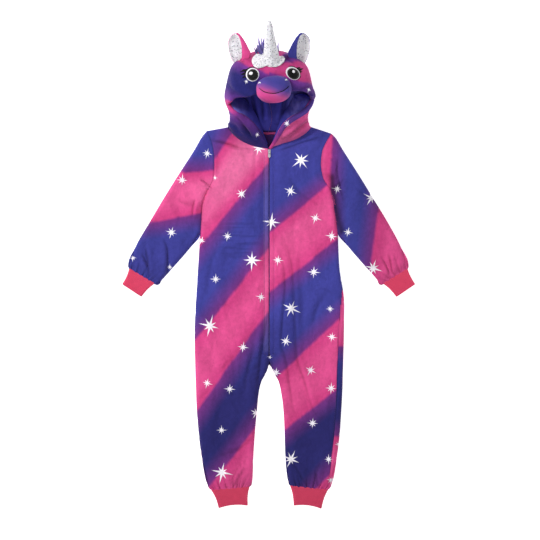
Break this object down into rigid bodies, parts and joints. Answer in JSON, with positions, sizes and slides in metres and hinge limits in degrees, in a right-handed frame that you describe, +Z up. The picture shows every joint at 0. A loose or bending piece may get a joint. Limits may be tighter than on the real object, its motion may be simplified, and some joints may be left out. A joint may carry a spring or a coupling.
{
  "type": "hooded fleece onesie",
  "caption": "Child's hooded fleece onesie laid flat, with zip front, rib cuffs and a pegasus hood that has a padded muzzle, scoop ears and a spiral horn.",
  "frame": {"origin": "on the surface it lies on, under the middle of the garment's length and width", "axes": "+X towards the wearer's left, +Y from the ankles to the hood, +Z up from the surface"},
  "size_m": [0.8062, 1.3394, 0.1959],
  "materials": {
    "fleece_pink": "short soft pile, printed",
    "fleece_blue": "short soft pile, printed",
    "fleece_purple": "short soft pile, printed",
    "rib": "rib knit",
    "lining": "short soft pile",
    "felt_white": "satin stitch",
    "felt_black": "satin stitch",
    "glitter": "white cloth with silver glitter",
    "mane_pile": "long pile",
    "neck_tape": "woven tape",
    "zip_tape": "woven tape",
    "zip_teeth": "moulded coil",
    "zip_metal": "plated"
  },
  "bodies": {
    "garment": {"front_right": "fleece_pink", "front_left": "fleece_blue", "back_right": "fleece_blue", "back_left": "fleece_pink", "sleeve_right": "fleece_blue", "sleeve_left": "fleece_pink", "wrist_cuff_right": "rib", "wrist_cuff_left": "rib", "ankle_cuff_right": "rib", "ankle_cuff_left": "rib", "hood_right": "fleece_blue", "hood_left": "fleece_pink", "hood_lining_right": "lining", "hood_lining_left": "lining", "eye_white_right": "felt_white", "eye_white_left": "felt_white", "eye_pupil_right": "felt_black", "eye_pupil_left": "felt_black", "ear_outer_right": "fleece_pink", "ear_outer_left": "fleece_blue", "ear_inner_right": "glitter", "ear_inner_left": "glitter", "muzzle": "fleece_purple", "horn": "glitter", "horn_frill": "glitter", "mane": "mane_pile", "neck_tape": "neck_tape", "zip_tape_right": "zip_tape", "zip_tape_left": "zip_tape", "zip_chain": "zip_teeth", "zip_slider": "zip_metal"},
    "zip_pull_tab": {"zip_pull": "zip_metal"}
  },
  "joints": [
    {"name": "zip_pull_hinge", "type": "hinge", "parent": "garment", "child": "zip_pull_tab", "pos_m": [0, 0.311, 0.0121], "axis": [-1, 0, 0], "range_deg": [0, 150]}
  ]
}
